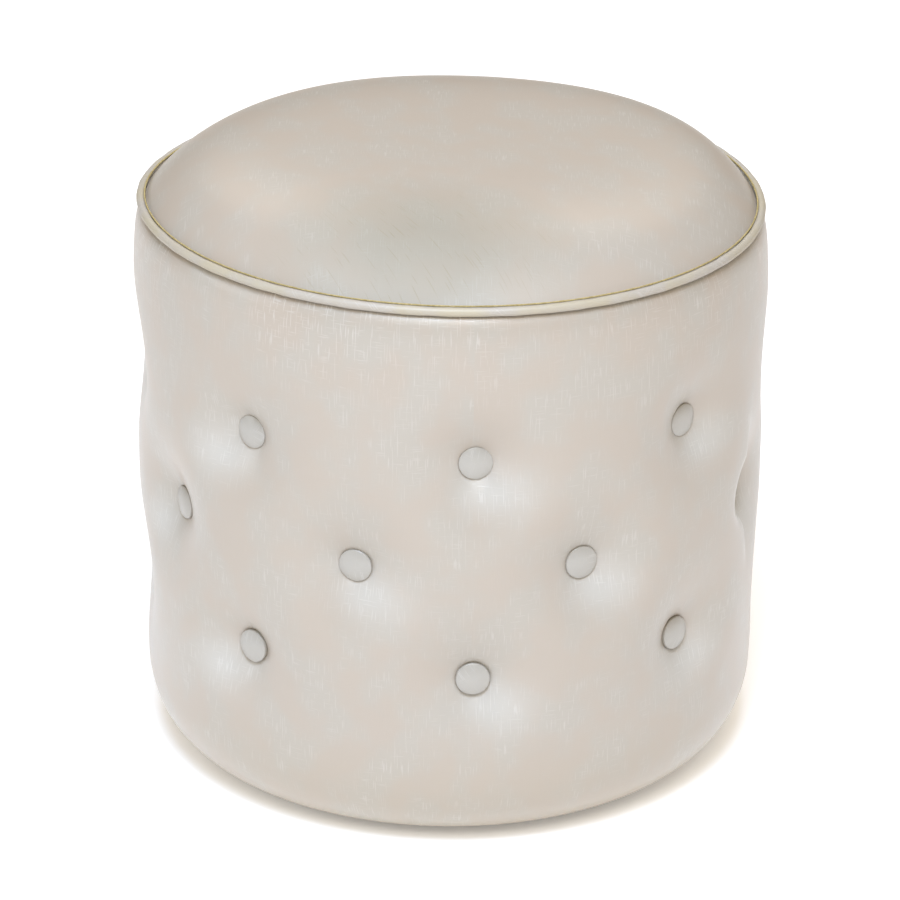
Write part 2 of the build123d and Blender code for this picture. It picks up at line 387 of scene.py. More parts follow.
def leave_facing_out():
    """Turns all faces of the piece outwards and leaves edit mode."""
    bpy.ops.mesh.select_all(action="SELECT")
    bpy.ops.mesh.normals_make_consistent(inside=False)
    leave()


def modify(piece, kind, **values):
    """Adds a modifier and applies it."""
    only(piece)
    made = piece.modifiers.new(kind.title(), kind)
    for name, value in values.items():
        setattr(made, name, value)
    bpy.ops.object.modifier_apply(modifier=made.name)


def settle(piece):
    """Puts the piece's place into its mesh."""
    only(piece)
    bpy.ops.object.transform_apply(location=True, rotation=True, scale=True)


def points_of(piece):
    flat = np.empty(len(piece.data.vertices) * 3, np.float32)
    piece.data.vertices.foreach_get("co", flat)
    return flat.reshape(-1, 3).astype(float)


def move_points(piece, points):
    piece.data.vertices.foreach_set("co", np.asarray(points, np.float32).ravel())
    piece.data.update()


def thread_layer(piece):
    """The UV map that holds the run of the cloth's threads, in metres."""
    layer = piece.data.uv_layers.active or piece.data.uv_layers.new()
    layer.name = UV_NAME
    return layer


def lay_flat(piece, places):
    """Lays the cloth's threads straight over a piece, from each vertex's place in the flat cloth."""
    layer = thread_layer(piece)
    for loop in piece.data.loops:
        layer.data[loop.index].uv = places[loop.vertex_index][:2]


def dress(piece, material, replaced=()):
    """Gives a finished piece its material, its body and the CAD nodes that it stands for."""
    settle(piece)
    piece.data.materials.clear()
    piece.data.materials.append(material)
    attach(piece, BODY)
    if replaced:
        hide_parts(*replaced)


def smooth(piece, angle=180.0):
    only(piece)
    bpy.ops.object.shade_smooth_by_angle(angle=math.radians(angle))


def copied(pattern, place):
    """A copy with a mesh of its own, moved to its place."""
    copy = pattern.copy()
    copy.data = pattern.data.copy()
    bpy.context.scene.collection.objects.link(copy)
    copy.data.transform(place)
    return copy


def joined(pieces, name):
    bpy.ops.object.select_all(action="DESELECT")
    for piece in pieces:
        piece.select_set(True)
    bpy.context.view_layer.objects.active = pieces[0]
    bpy.ops.object.join()
    whole = bpy.context.object
    whole.name = whole.data.name = name
    return whole


def ease(values):
    """A smooth step from 0 to 1."""
    share = np.clip(values, 0, 1)
    return share * share * (3 - 2 * share)


def wrapped(angle):
    """The same angle, brought to within half a turn either way."""
    return (angle + math.pi) % (2 * math.pi) - math.pi


def bearing(points):
    """The angle of each point round the drum."""
    return np.arctan2(points[:, 0], -points[:, 1])


def round_drum(radius, angle, height):
    """Points at a radius, angle and height."""
    height = np.broadcast_to(height, angle.shape)
    return np.column_stack([radius * np.sin(angle), -radius * np.cos(angle), height])


def off_axis(points):
    """The distance of each point from the drum's axis."""
    return np.hypot(points[:, 0], points[:, 1])


def swell(points, angle, width):
    """A bump of height 1 at an angle round the drum, which dies away over a width, both in radians."""
    return np.exp(-(wrapped(bearing(points) - angle) / width) ** 2)


def lean(points, begin, end):
    """Tilts and draws down the upper part of a form as the seam is.

    The form follows the seam fully above the height end, and not at all below begin.
    """
    drum = settings("drum")
    share = ease((points[:, 2] - begin) / (end - begin))
    reach = off_axis(points) / drum.seam_radius
    pull = drum.pull * swell(points, drum.pull_angle, PULL_WIDTH) * np.clip(reach, 0, 1) ** 6
    points[:, 2] -= share * (drum.lean_right * points[:, 0] + drum.lean_back * points[:, 1] + pull)
    return points


def curve_through(corners, count):
    """A smooth line through the corners, resampled to evenly spaced points."""
    corners = np.asarray(corners, float)
    ends = np.vstack([2 * corners[0] - corners[1], corners, 2 * corners[-1] - corners[-2]])
    t = np.linspace(0, 1, 24, endpoint=False)[:, None]
    line = []
    for a, b, c, d in zip(ends, ends[1:], ends[2:], ends[3:]):
        square, cube = 2 * a - 5 * b + 4 * c - d, 3 * b - a - 3 * c + d
        line.append(0.5 * (2 * b + (c - a) * t + square * t ** 2 + cube * t ** 3))
    line = np.vstack([*line, corners[-1:]])
    along = np.concatenate([[0], np.cumsum(np.linalg.norm(np.diff(line, axis=0), axis=1))])
    steps = np.linspace(0, along[-1], count)
    return np.column_stack([np.interp(steps, along, line[:, i]) for i in range(2)])


# Radius on which the cloth lies round the drum and its threads have their true spacing
CLOTH_RADIUS = 0.2265
# Widths of the pull in the seam and of the crown's fuller side
PULL_WIDTH = math.radians(27)
FULL_WIDTH = math.radians(34)
# Width of the ring round a button in which the cloth drops to its seat
TUCK = 2 * MM
# How far the upholsterer set a button off its mark, to the right along the cloth and up, in millimetres
SHIFTS = {
    ("lower", 0): (1.5, 0.8), ("lower", 2): (0.5, 1.1),
    ("middle", 1): (-3.6, -1.2), ("middle", 13): (1.7, -1.2), ("middle", 15): (1.8, 0.7),
    ("upper", 0): (2.5, 0.3), ("upper", 2): (3.1, 0.0), ("upper", 14): (1.8, 0.5),
}
# The button with a tight dimple, and the share of the usual dimple that it reaches on that side
TIGHT_BUTTON = ("middle", 3)
TIGHT_REACH = 0.38


def button_places():
    """(angle, height, row name, whether its dimple is tight) of every button; the rows are staggered."""
    tufts = settings("tufts")
    pitch = 2 * math.pi / tufts.columns
    places = []
    for row, name in enumerate(("lower", "middle", "upper")):
        height = middle("buttons_" + name).z
        for column in range(row % 2, tufts.columns, 2):
            right, up = SHIFTS.get((name, column), (0, 0))
            angle = tufts.first_angle + pitch * column + right * MM / BUTTON_BACK
            places.append((angle, height + up * MM, name, (name, column) == TIGHT_BUTTON))
    return places


def dimple_depth(angles, heights):
    """How far each point of the side is drawn in, and its distance from the nearest button."""
    tufts, edge = settings("tufts"), settings("buttons").radius
    total = np.zeros(len(angles))
    nearest = np.full(len(angles), np.inf)
    for angle, height, _, tight in button_places():
        turn = wrapped(angles - angle)
        away = np.hypot(turn * CLOTH_RADIUS, heights - height)
        # The cloth stands up steeply beside a tight button, on its side towards the front
        reach = np.where((turn < 0) & tight, edge + TIGHT_REACH * (tufts.reach - edge), tufts.reach)
        share = np.clip(1 - (away - edge) / (reach - edge), 0, 1)
        total += tufts.depth * share ** tufts.steepness
        nearest = np.minimum(nearest, away)
    tuck = ease((edge + 0.8 * MM - nearest) / (3 * MM))
    total = np.where(nearest < edge + TUCK, total * (1 - tuck) + tufts.seat_depth * tuck, total)
    return np.minimum(total, tufts.seat_depth), nearest


# The painted highlight under a button, where the lamps light the dimple's lower side: its drop, its half
# width and height, and its shift to right or left, away from the angle at which the shift changes sides
PATCH_DROP = 21 * MM
PATCH_SIZE = (28 * MM, 18 * MM)
PATCH_SHIFT = (12 * MM, 24 * MM)
PATCH_TURN = math.radians(-31)
PATCH_TURN_WIDTH = math.radians(9)


def stretched(points):
    """Share of painted highlight at each point: most below a button and a little to its outer side."""
    angles = bearing(points)
    total = np.zeros(len(points))
    for angle, height, _, _ in button_places():
        outer = np.clip((wrapped(angle) - PATCH_TURN) / PATCH_TURN_WIDTH, -1, 1)
        aside = max(outer, 0) * PATCH_SHIFT[0] + min(outer, 0) * PATCH_SHIFT[1]
        across = (wrapped(angles - angle) * SIDE_HIGH.x - aside) / PATCH_SIZE[0]
        down = (height - PATCH_DROP - points[:, 2]) / PATCH_SIZE[1]
        total = np.maximum(total, np.exp(-across ** 2 - down ** 2))
    return np.where(off_axis(points) > FOAM_HIGH.x + 3 * MM, total, 0)


def keep_value(piece, name, values):
    """Stores one number for each vertex under a name that a material reads."""
    layer = piece.data.attributes.new(name, "FLOAT", "POINT")
    layer.data.foreach_set("value", np.asarray(values, np.float32))


def swollen(piece, held, limits):
    """Lets the filling swell the cloth in a simulation, some vertices held and none moved past its limit."""
    only(piece)
    pins = piece.vertex_groups.new(name="held")
    pins.add([int(i) for i in np.flatnonzero(held)], 1, "REPLACE")
    before = points_of(piece)
    cloth = piece.modifiers.new("Cloth", "CLOTH")
    made = cloth.settings
    made.quality = 5
    made.mass = 0.3
    made.tension_stiffness = made.compression_stiffness = 25
    made.shear_stiffness = 12
    made.bending_stiffness = 2
    made.use_pressure = True
    made.uniform_pressure_force = 4.0
    made.vertex_group_mass = pins.name
    made.effector_weights.gravity = 0
    frames = 20
    cloth.point_cache.frame_end = frames
    for frame_number in range(1, frames + 1):
        bpy.context.scene.frame_set(frame_number)
    bpy.ops.object.modifier_apply(modifier=cloth.name)
    bpy.context.scene.frame_set(1)
    move = points_of(piece) - before
    far = np.maximum(np.linalg.norm(move, axis=1), 1e-9)
    move_points(piece, before + move * np.minimum(1, limits / far)[:, None])
    piece.vertex_groups.clear()


# Pieces

# Columns of vertices round the side cover, and rows of them down its outside
COLUMNS = 256
OUTER_ROWS = 88
# Outside of this radius the cover's wall stands up; inside of it the cloth lies under the base
WALL_RADIUS = 0.2
# Radius and height of the cover's inner line, from its edge under the base up to the seam, in millimetres
INNER_LINE = [(150.3, 6.2), (183.6, 6.2), (183.6, 13.7), (203.3, 13.7), (203.3, 210.0), (203.3, 416.9)]
# Radius and drop from the seam of the cover's outer line, in millimetres
BARREL_LINE = [
    (217.0, 0.0), (219.4, -0.3), (221.3, -1.8), (223.2, -4.0), (225.2, -7.6), (227.0, -13.5), (228.5, -26),
    (229.6, -46), (230.2, -67), (229.5, -106), (228.7, -149), (228.6, -192), (228.2, -237), (227.3, -287),
    (225.3, -332),
]
# Bevel of the foam disc's upper edge
FOAM_BEVEL = 13 * MM
# Largest tilt of a button, in radians, and the seed of the tilts
BUTTON_TILT = math.radians(2.5)
SEED = 11


def side_outline():
    """The cover's outside from the welt down, round the foot and in under the base."""
    line = [(r * MM, SIDE_HIGH.z + drop * MM) for r, drop in BARREL_LINE]
    foot_top, foot_bottom = 62 * MM, SIDE_LOW.z
    inner, outer = 180.5 * MM, 224.4 * MM
    for degrees in range(0, 91, 9):
        turn = math.radians(degrees)
        line.append((inner + (outer - inner) * math.cos(turn),
                     foot_top - (foot_top - foot_bottom) * math.sin(turn)))
    line += [(172 * MM, foot_bottom), (161 * MM, foot_bottom), (150.3 * MM, foot_bottom)]
    return curve_through(line, OUTER_ROWS)


class OTTOMAN_OT_side_cover(bpy.types.Operator):
    """Make the tufted side of the cover, with its fill"""

    bl_idname = "ottoman.side_cover"
    bl_label = "Side Cover"

    def execute(self, context):
        drum, colours = settings("drum"), settings("colours")
        line = np.vstack([side_outline(), np.array(INNER_LINE) * MM])
        rows = len(line)
        # A tube with a ring of vertices for each point of the line is moved onto the line, ring by ring
        piece = start(bpy.ops.mesh.primitive_cylinder_add, "side_cloth", vertices=COLUMNS, radius=1, depth=1,
                      end_fill_type="NOTHING", location=(0, 0, 0.5))
        picked(piece, "edges", lambda e: abs(e.verts[0].co.z - e.verts[1].co.z) > 0.5)
        bpy.ops.mesh.subdivide(number_cuts=rows - 2)
        leave()
        points = points_of(piece)
        row = np.rint((1 - points[:, 2]) * (rows - 1)).astype(int)
        column = np.rint(bearing(points) / (2 * math.pi) * COLUMNS).astype(int) % COLUMNS
        angle = settings("tufts").first_angle + column * 2 * math.pi / COLUMNS
        radius, height = line[row, 0], line[row, 1]
        outside = row < OUTER_ROWS
        depth, nearest = dimple_depth(angle, height)
        radius = radius - np.where(outside & (radius > WALL_RADIUS), depth, 0)
        move_points(piece, lean(round_drum(radius, angle, height), drum.lean_start, drum.seam_height))
        self.lay_cloth(piece, line, row, column)
        picked(piece, "edges", lambda e: e.is_boundary)
        bpy.ops.mesh.bridge_edge_loops()
        leave()
        # The inner line's corners are sharp
        picked(piece, "edges", lambda e: row[e.verts[0].index] == row[e.verts[1].index] >= OUTER_ROWS - 1)
        bpy.ops.transform.edge_crease(value=1)
        leave_facing_out()
        # The seam, the foot's underside, the buttons' seats and the inside are held
        free = outside & (radius > WALL_RADIUS) & (height < SIDE_HIGH.z - 9 * MM) & (height > 16 * MM)
        held = ~(free & (nearest > settings("buttons").radius + TUCK))
        # The foot lies firm on the base, so the filling swells it less
        swollen(piece, held, 5 * MM * ease((height - 40 * MM) / (70 * MM)))
        modify(piece, "SUBSURF", levels=1, render_levels=1)
        # The painted highlight below each button is kept for the material
        keep_value(piece, PAINTED_HIGHLIGHT_NAME, stretched(points_of(piece)))
        smooth(piece, 60)
        material = leathercloth("Pearl leathercloth, side", colours.cloth, colours.cloth_cool, seamed=True)
        dress(piece, material, ["side_cover"])
        return {"FINISHED"}

    @staticmethod
    def lay_cloth(piece, line, row, column):
        """Lays the cloth's threads: one coordinate runs round the drum and the other down its outline."""
        down = np.concatenate([[0], np.cumsum(np.linalg.norm(np.diff(line, axis=0), axis=1))])
        layer = thread_layer(piece)
        width = 2 * math.pi * CLOTH_RADIUS / COLUMNS
        for face in piece.data.polygons:
            columns = [column[v] for v in face.vertices]
            last = max(columns)
            for loop, v, c in zip(face.loop_indices, face.vertices, columns):
                # Faces that close the round run on past the last column
                round_step = c + (COLUMNS if last - c > COLUMNS / 2 else 0)
                layer.data[loop].uv = (round_step * width, down[row[v]])


class OTTOMAN_OT_top_panel(bpy.types.Operator):
    """Make the crowned top panel of the cover, turned in round the foam disc"""

    bl_idname = "ottoman.top_panel"
    bl_label = "Top Panel"

    def execute(self, context):
        drum, colours = settings("drum"), settings("colours")
        side = 96
        piece = start(bpy.ops.mesh.primitive_grid_add, "top_panel", x_subdivisions=side, y_subdivisions=side,
                      size=2)
        points = points_of(piece)
        x, y = points[:, 0], points[:, 1]
        # The square grid is drawn out to a disc
        disc = np.column_stack([x * np.sqrt(1 - y * y / 2), y * np.sqrt(1 - x * x / 2)])
        reach = off_axis(disc)
        flat = disc * drum.seam_radius
        fullness = drum.fullness + drum.extra_fullness * swell(disc, drum.full_angle, FULL_WIDTH)
        share = 1 - np.minimum(reach, 1) ** fullness
        height = drum.seam_height + (drum.crown - drum.crown_lean * flat[:, 0]) * share
        move_points(piece, np.column_stack([flat, height]))
        lay_flat(piece, flat)
        modify(piece, "SUBSURF", levels=1, render_levels=1)
        self.turn_in(piece)
        move_points(piece, lean(points_of(piece), drum.lean_start, drum.seam_height))
        smooth(piece, 60)
        material = leathercloth("Pearl leathercloth, top", colours.cloth, colours.cloth_cool, creases=True)
        dress(piece, material, ["top_cover"])
        return {"FINISHED"}

    @staticmethod
    def turn_in(piece):
        """Turns the panel's edge in under the crown, round a pocket that fits the foam disc and its bevel."""
        drum = settings("drum")
        middle_of_seam = (0, 0, drum.seam_height)
        pocket = (TOP_FOAM_HIGH.x + 0.3 * MM) / drum.seam_radius
        bevel_start = TOP_FOAM_HIGH.z - 12.6 * MM
        picked(piece, "edges", lambda e: e.is_boundary)
        bpy.ops.mesh.extrude_edges_move()
        bpy.ops.transform.resize(value=(pocket, pocket, 1), center_override=middle_of_seam)
        bpy.ops.mesh.extrude_edges_move()
        bpy.ops.transform.translate(value=(0, 0, bevel_start - drum.seam_height))
        bpy.ops.mesh.extrude_edges_move()
        bpy.ops.transform.translate(value=(0, 0, FOAM_BEVEL))
        # The first ring ends the bevel, and the others close the pocket's roof
        for share in (0.935, 0.6, 0.2):
            bpy.ops.transform.resize(value=(share, share, 1), center_override=middle_of_seam)
            bpy.ops.mesh.extrude_edges_move()
        bpy.ops.mesh.merge(type="CENTER")
        leave_facing_out()


def cord_ring(name, radius, cord_radius, height, around, across):
    """A ring of cord round the drum, its points, and for each of them the point on the cord's middle line."""
    piece = start(bpy.ops.mesh.primitive_torus_add, name, major_segments=around, minor_segments=across,
                  major_radius=radius, minor_radius=cord_radius, location=(0, 0, height))
    points = points_of(piece)
    return piece, points, round_drum(radius, bearing(points), height)


class OTTOMAN_OT_welt(bpy.types.Operator):
    """Make the welt round the top edge"""

    bl_idname = "ottoman.welt"
    bl_label = "Welt"

    def execute(self, context):
        drum, trim, colours = settings("drum"), settings("trim"), settings("colours")
        radius = WELT_HIGH.x - trim.bead_radius
        height = (WELT_LOW.z + WELT_HIGH.z) / 2
        piece, points, centre = cord_ring("welt_cord", radius, trim.bead_radius, height, 384, 16)
        # The cloth is cut on the bias, so its threads cross the cord at 45 degrees
        long, girth = 2 * math.pi * radius, 2 * math.pi * trim.bead_radius
        for loop in thread_layer(piece).data:
            u, v = loop.uv[0] * long, loop.uv[1] * girth
            loop.uv = ((u + v) * math.sqrt(0.5), (v - u) * math.sqrt(0.5))
        # Hand-fed piping thickens and narrows a little
        angle = bearing(points)
        girth_share = 1 + 0.03 * np.sin(37 * angle + 0.6) + 0.025 * np.sin(61 * angle + 2.1)
        points = centre + (points - centre) * girth_share[:, None]
        move_points(piece, lean(points, drum.lean_start, WELT_LOW.z))
        smooth(piece)
        material = leathercloth("Pearl leathercloth, bias-cut welt", colours.welt, colours.cloth_cool,
                                roughness=0.55, coat=0.1)
        dress(piece, material, ["welt"])
        return {"FINISHED"}


class OTTOMAN_OT_seam_thread(bpy.types.Operator):
    """Make the stitched thread line inside the welt"""

    bl_idname = "ottoman.seam_thread"
    bl_label = "Seam Thread"

    def execute(self, context):
        drum, trim = settings("drum"), settings("trim")
        # The thread lies on the panel, close against the inner side of the welt
        radius = WELT_HIGH.x - 2 * trim.bead_radius + 0.35 * MM
        height = drum.seam_height + 2.3 * MM
        stitches = round(2 * math.pi * radius / trim.stitch)
        piece, points, centre = cord_ring("seam_thread", radius, trim.thread_radius, height, stitches * 4, 8)
        # It narrows where each stitch dips into the cloth
        dip = 0.78 + 0.22 * np.abs(np.sin(bearing(points) * stitches / 2))
        move_points(piece, lean(centre + (points - centre) * dip[:, None], drum.lean_start, WELT_LOW.z))
        smooth(piece)
        # Spun polyester sewing thread: matt and finely hairy, so its tone wavers along the line
        material = textured("Spun polyester thread", "#9E8D5A", "#B7A676", 2 * MM, 2 * MM, 0.1 * MM,
                            Roughness=0.8)
        dress(piece, material)
        return {"FINISHED"}


class OTTOMAN_OT_buttons(bpy.types.Operator):
    """Make the three rows of covered buttons"""

    bl_idname = "ottoman.buttons"
    bl_label = "Covered Buttons"

    def execute(self, context):
        tone = settings("colours").button
        pattern = self.one_button()
        material = leathercloth("Pearl leathercloth, stretched on buttons", tone, tone, rim=True)
        draw = np.random.default_rng(SEED)
        made = {}
        for angle, height, name, _ in button_places():
            tilt_side, tilt_up, spin = draw.uniform(-1, 1, 3)
            outward = Vector((math.sin(angle), -math.cos(angle), 0))
            turn = (outward.to_track_quat("Z", "Y").to_matrix().to_4x4()
                    @ Matrix.Rotation(BUTTON_TILT * tilt_side, 4, "X")
                    @ Matrix.Rotation(BUTTON_TILT * tilt_up, 4, "Y")
                    @ Matrix.Rotation(math.pi * spin, 4, "Z"))
            place = Matrix.Translation(outward * BUTTON_BACK + Vector((0, 0, height)))
            made.setdefault(name, []).append(copied(pattern, place @ turn))
        bpy.data.objects.remove(pattern)
        for name, copies in made.items():
            row = joined(copies, f"covered_buttons_{name}")
            smooth(row, 60)
            dress(row, material, [f"buttons_{name}"])
        return {"FINISHED"}

    @staticmethod
    def one_button():
        """A covered button that stands on the floor plane at the origin, its face up."""
        size = settings("buttons")
        piece = start(bpy.ops.mesh.primitive_cylinder_add, "button", vertices=size.segments,
                      radius=size.radius, depth=size.rim, location=(0, 0, size.rim / 2))
        # The face is inset ring by ring and each ring raised on the crown's curve
        picked(piece, "faces", lambda f: f.normal.z > 0.9)
        reached, lifted = 1.0, 0.0
        for share in (0.97, 0.9, 0.78, 0.62, 0.44, 0.26, 0.1):
            rise = size.crown * (1 - share ** 2.2)
            bpy.ops.mesh.inset(thickness=(reached - share) * size.radius, depth=rise - lifted)
            reached, lifted = share, rise
        leave()
        # The back is set off from the rim by a narrow step
        picked(piece, "faces", lambda f: f.normal.z < -0.9)
        bpy.ops.mesh.inset(thickness=0.7 * MM, depth=0.2 * MM)
        leave()
        points = points_of(piece)
        radial = off_axis(points)
        angle = np.arctan2(points[:, 1], points[:, 0])
        # Slack of the gathered cloth: shallow folds that run in from the edge
        folds = np.sin(5 * angle + 0.7) * np.sin(9 * angle) * np.clip(radial / size.radius, 0, 1) ** 2
        points[:, 2] += np.where(points[:, 2] > size.rim * 0.9, 0.16 * MM * folds, 0)
        move_points(piece, points)
        modify(piece, "SUBSURF", levels=1, render_levels=1)
        points = points_of(piece)
        # Painted shade: the lower part of the button's side is darkened for the gap against the cover
        keep_value(piece, RIM_SHADE_NAME, ease((0.62 * size.rim - points[:, 2]) / (0.5 * size.rim)))
        lay_flat(piece, points)
        return piece


class OTTOMAN_OT_foam(bpy.types.Operator):
    """Make the foam wrap and the foam disc under the cover"""

    bl_idname = "ottoman.foam"
    bl_label = "Foam"

    def execute(self, context):
        # Open-cell polyurethane foam: cut, unskinned, so it is matt and pitted by its cells
        material = textured("Cut polyurethane foam", "#D9D2B0", "#EFE9CC", 1.5 * MM, 1.5 * MM, 0.5 * MM,
                            Roughness=0.95)
        self.wrap(material)
        self.disc(material)
        return {"FINISHED"}

    @staticmethod
    def wrap(material):
        drum = settings("drum")
        height = FOAM_HIGH.z - FOAM_LOW.z
        piece = start(bpy.ops.mesh.primitive_cylinder_add, "foam_wrap", vertices=128, radius=FOAM_HIGH.x,
                      depth=height, end_fill_type="NOTHING", location=(0, 0, FOAM_LOW.z + height / 2))
        move_points(piece, lean(points_of(piece), drum.lean_start, drum.seam_height))
        modify(piece, "SOLIDIFY", thickness=19.2 * MM, offset=-1)
        modify(piece, "BEVEL", width=3 * MM, segments=3, limit_method="ANGLE")
        smooth(piece, 40)
        dress(piece, material, ["side_foam"])

    @staticmethod
    def disc(material):
        height = TOP_FOAM_HIGH.z - TOP_FOAM_LOW.z
        radius = TOP_FOAM_HIGH.x - 0.5 * MM
        piece = start(bpy.ops.mesh.primitive_cylinder_add, "foam_disc", vertices=128, radius=radius,
                      depth=height, location=(0, 0, TOP_FOAM_LOW.z + height / 2))
        picked(piece, "edges", lambda e: all(v.co.z > TOP_FOAM_HIGH.z - MM for v in e.verts))
        bpy.ops.mesh.bevel(offset=FOAM_BEVEL, segments=5)
        leave()
        # The disc lies level on the deck, and only its upper part follows the crown
        move_points(piece, lean(points_of(piece), TOP_FOAM_LOW.z, TOP_FOAM_HIGH.z - 10 * MM))
        smooth(piece, 40)
        dress(piece, material, ["top_foam"])


class OTTOMAN_OT_base(bpy.types.Operator):
    """Make the dust cover, its staples and the glides"""

    bl_idname = "ottoman.base"
    bl_label = "Base Fittings"

    def execute(self, context):
        self.dust_cover()
        self.staples()
        self.glides()
        return {"FINISHED"}

    @staticmethod
    def dust_cover():
        trim = settings("trim")
        radius = DUST_HIGH.x
        # Share of the radius inside which the sheet hangs free of the base ring
        free = 0.84
        piece = start(bpy.ops.mesh.primitive_circle_add, "dust_sheet", vertices=96, radius=radius,
                      fill_type="NGON", location=(0, 0, DUST_LOW.z))
        picked(piece, "faces", lambda f: True)
        for _ in range(9):
            bpy.ops.mesh.inset(thickness=radius * 0.1)
        bpy.ops.mesh.poke()
        leave()
        points = points_of(piece)
        reach = off_axis(points) / radius
        turn = np.arctan2(points[:, 1], points[:, 0])
        waves = 0.25 * MM * np.sin(7 * turn) * ease((0.8 - reach) / 0.3)
        slack = trim.sag * ease((free - reach) / 0.8) + waves
        points[:, 2] -= np.where(reach < free, slack, 0)
        move_points(piece, points)
        picked(piece, "faces", lambda f: True)
        leave_facing_out()
        modify(piece, "SOLIDIFY", thickness=0.45 * MM, offset=1)
        smooth(piece, 40)
        # Spunbonded polypropylene: pressed fibres with a faint dull sheen
        material = textured("Spunbonded dust cover", "#131313", "#232221", 0.9 * MM, 0.9 * MM, 0.15 * MM,
                            Roughness=0.85, Sheen_Weight=0.15)
        dress(piece, material, ["dust_cover"])

    @staticmethod
    def staples():
        trim = settings("trim")
        radius = DUST_HIGH.x - 6 * MM
        height = DUST_LOW.z - 0.25 * MM
        pattern = start(bpy.ops.mesh.primitive_cube_add, "staple", size=1)
        pattern.scale = (trim.staple_width, trim.staple_wire, trim.staple_wire)
        settle(pattern)
        # The crown's two ends are rounded below, where the wire bends into its legs
        picked(pattern, "edges", lambda e: abs(e.verts[0].co.x - e.verts[1].co.x) < MM
               and e.verts[0].co.z < 0 and e.verts[1].co.z < 0)
        bpy.ops.mesh.bevel(offset=0.3 * MM, segments=2)
        leave()
        copies = []
        for number in range(trim.staple_count):
            angle = 2 * math.pi * (number + 0.5) / trim.staple_count
            place = Matrix.Translation((radius * math.sin(angle), -radius * math.cos(angle), height))
            # Staples driven by hand stand a little askew
            askew = angle + 0.12 * math.sin(9 * number)
            copies.append(copied(pattern, place @ Matrix.Rotation(askew, 4, "Z")))
        bpy.data.objects.remove(pattern)
        ring = joined(copies, "staples")
        # Galvanised staple wire: drawn, dull grey with a light zinc bloom
        material = textured("Galvanised staple wire", "#8F9090", "#B9BABA", 2 * MM, 2 * MM, 0.02 * MM,
                            Roughness=0.4, Metallic=1.0)
        dress(ring, material)

    @staticmethod
    def glides():
        # Injection-moulded nylon: fine spark-eroded texture, a soft low sheen
        material = textured("Moulded nylon", "#1D1B19", "#2A2724", 0.4 * MM, 0.4 * MM, 0.03 * MM,
                            Roughness=0.5)
        for number in range(1, 5):
            node = f"glide_{number}"
            low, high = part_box(node)
            piece = start(bpy.ops.mesh.primitive_cylinder_add, f"nylon_glide_{number}", vertices=40,
                          radius=(high.x - low.x) / 2, depth=high.z - low.z, location=middle(node))
            picked(piece, "edges", lambda e: all(v.co.z < low.z + 0.1 * MM for v in e.verts))
            bpy.ops.mesh.bevel(offset=1 * MM, segments=3)
            leave()
            # A shallow well in the foot hides the nail's head
            picked(piece, "faces", lambda f: f.normal.z < -0.9 and f.calc_area() > 1e-4)
            bpy.ops.mesh.inset(thickness=7.5 * MM)
            bpy.ops.mesh.inset(thickness=0.4 * MM, depth=-0.8 * MM)
            leave()
            smooth(piece, 40)
            dress(piece, material, [node])


class OTTOMAN_OT_frame_finishes(bpy.types.Operator):
    """Give the CAD nodes that stay their materials"""

    bl_idname = "ottoman.frame_finishes"
    bl_label = "Frame Finishes"

    def execute(self, context):
        lying = (0.0, math.pi / 2, 0.0)
        finishes = [
            # Birch plywood: rotary-cut face veneer, sanded, its grain in long pale waves
            (["base_ring", "top_deck"],
             textured("Birch plywood", "#B9935F", "#D8B988", 5 * MM, 90 * MM, 0.1 * MM, lying,
                      Roughness=0.6)),
            # Spruce: planed, with straight growth rings 2 to 4 mm apart along each post
            (["post_1", "post_2", "post_3", "post_4"],
             textured("Planed spruce", "#BE9560", "#E0C293", 3 * MM, 140 * MM, 0.08 * MM, Roughness=0.6)),
            # Tempered hardboard: wood fibre pressed hard and oiled, dark and faintly mottled
            (["side_wall"],
             textured("Tempered hardboard", "#5A3D27", "#76543A", 4 * MM, 4 * MM, 0.05 * MM, Roughness=0.55)),
            # Zinc-plated steel: thin bright plating with a cloudy passivated bloom
            (["frame_screws", "glide_nails", "button_plates"],
             textured("Zinc-plated steel", "#9A9B98", "#C6C8C6", 3 * MM, 3 * MM, 0.02 * MM, Roughness=0.32,
                      Metallic=1.0)),
            # Waxed linen twine: twisted strands with a dull waxy face
            (["tufting_twines"],
             textured("Waxed linen twine", "#A8986F", "#CDBF98", 1 * MM, 1 * MM, 0.2 * MM, Roughness=0.7)),
            # Turned beech: short dark flecks in a pale even ground
            (["twine_toggles"],
             textured("Beech", "#A57E54", "#C79F72", 1.5 * MM, 8 * MM, 0.05 * MM, Roughness=0.55)),
        ]
        for names, material in finishes:
            for name in names:
                NODES[name].data.materials.clear()
                NODES[name].data.materials.append(material)
        return {"FINISHED"}


# Name, watts, tone, width and height in metres, angle round the drum and elevation in degrees
LAMPS = [
    ("High softbox", 96, "#CAE0FF", (1.2, 1.0), -6, 59),
    ("Front softbox", 25, "#FFFBF0", (1.7, 0.9), 0, 42),
    ("Low softbox, left", 11, "#F6FAFF", (2.2, 0.7), -80, 14),
    ("High softbox, right", 16, "#FFEAD2", (1.2, 1.0), 27, 59),
    ("Top softbox", 17, "#F2F6FF", (1.5, 1.5), 0, 88),
    ("Back softbox", 14, "#FFF2E0", (3.0, 1.4), 180, 42),
]
# Distance of every lamp from the point that it faces, and the height of that point
LAMP_DISTANCE = 3.2
LAMP_AIM = 0.22
# Distances from the drum's axis between which the floor's glow comes in, under the drum's foot; the glow left
# out inside them paints the drum's contact shadow
PAINTED_SHADOW_EDGE = (0.155, 0.2)


